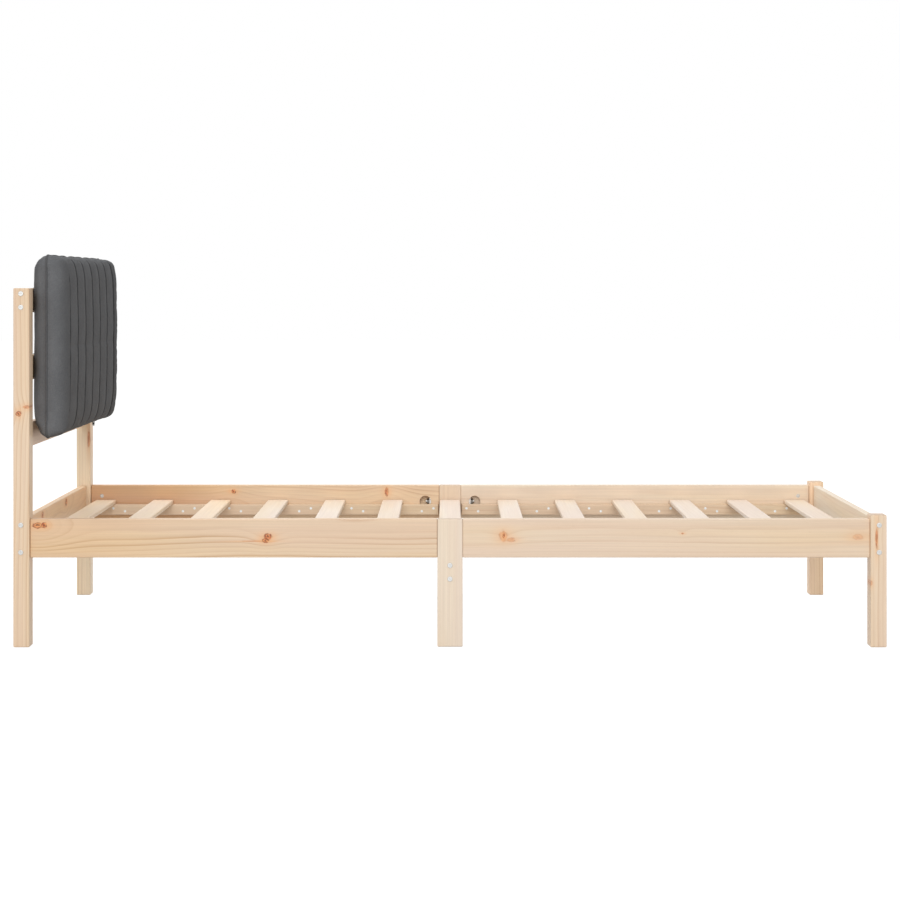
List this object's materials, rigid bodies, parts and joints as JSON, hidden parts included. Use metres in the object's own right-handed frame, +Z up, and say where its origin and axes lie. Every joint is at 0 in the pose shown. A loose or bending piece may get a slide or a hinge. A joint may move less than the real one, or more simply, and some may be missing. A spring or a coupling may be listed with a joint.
{
  "type": "slatted bed frame",
  "caption": "Low slatted bed frame of pale pine boards with bolted posts, mid legs and an open headboard that carries a grey channelled cushion, zipped along its underside.",
  "frame": {"origin": "on the floor under the middle of the bed", "axes": "+X from the head end to the foot end, +Y from the pictured long side to the far one, +Z up"},
  "size_m": [2.0594, 0.9804, 0.928],
  "materials": {
    "pine": "satin lacquer",
    "slat_pine": "raw planed",
    "beech": "raw",
    "zinc": "white zinc",
    "dark_steel": "dark oiled",
    "grey_fabric": "woven",
    "foam": "open cell",
    "black_webbing": "woven tape",
    "black_enamel": "gloss"
  },
  "bodies": {
    "bed": {"head_post_left": "pine", "foot_post_left": "pine", "mid_leg_left": "pine", "batten_block_left": "pine", "side_rail_left_head": "pine", "batten_left_head": "pine", "side_rail_left_foot": "pine", "batten_left_foot": "pine", "head_post_right": "pine", "foot_post_right": "pine", "mid_leg_right": "pine", "batten_block_right": "pine", "side_rail_right_head": "pine", "batten_right_head": "pine", "side_rail_right_foot": "pine", "batten_right_foot": "pine", "head_rail": "pine", "foot_rail": "pine", "headboard_top_rail": "pine", "headboard_mid_rail": "pine", "headboard_low_rail": "pine", "mid_stretcher": "pine", "slat_01": "slat_pine", "slat_02": "slat_pine", "slat_03": "slat_pine", "slat_04": "slat_pine", "slat_05": "slat_pine", "slat_06": "slat_pine", "slat_07": "slat_pine", "slat_08": "slat_pine", "slat_09": "slat_pine", "slat_10": "slat_pine", "slat_11": "slat_pine", "slat_12": "slat_pine", "slat_13": "slat_pine", "side_rail_bolts": "zinc", "side_rail_barrel_nuts": "zinc", "end_rail_bolts": "zinc", "end_rail_barrel_nuts": "zinc", "headboard_bolts": "zinc", "headboard_barrel_nuts": "zinc", "stretcher_bolts": "zinc", "stretcher_barrel_nuts": "zinc", "mid_leg_rods": "zinc", "mid_leg_half_washers": "zinc", "batten_screws": "zinc", "slat_screws": "zinc", "mid_leg_nuts": "dark_steel", "headboard_dowels": "beech", "cushion_core": "foam", "cushion_front_cover": "grey_fabric", "cushion_back_cover": "grey_fabric", "cushion_piping": "grey_fabric", "cushion_straps": "black_webbing", "zip_tapes": "black_webbing", "zip_stops": "zinc"},
    "slider": {"zip_slider": "black_enamel"},
    "pull": {"zip_pull": "black_enamel"}
  },
  "joints": [
    {"name": "zip_slide", "type": "slide", "parent": "bed", "child": "slider", "axis": [0, -1, 0], "range_m": [0, 0.729]},
    {"name": "zip_pull_swing", "type": "hinge", "parent": "slider", "child": "pull", "pos_m": [-0.9695, 0.3645, 0.4851], "axis": [1, 0, 0], "range_deg": [-85, 85]}
  ]
}
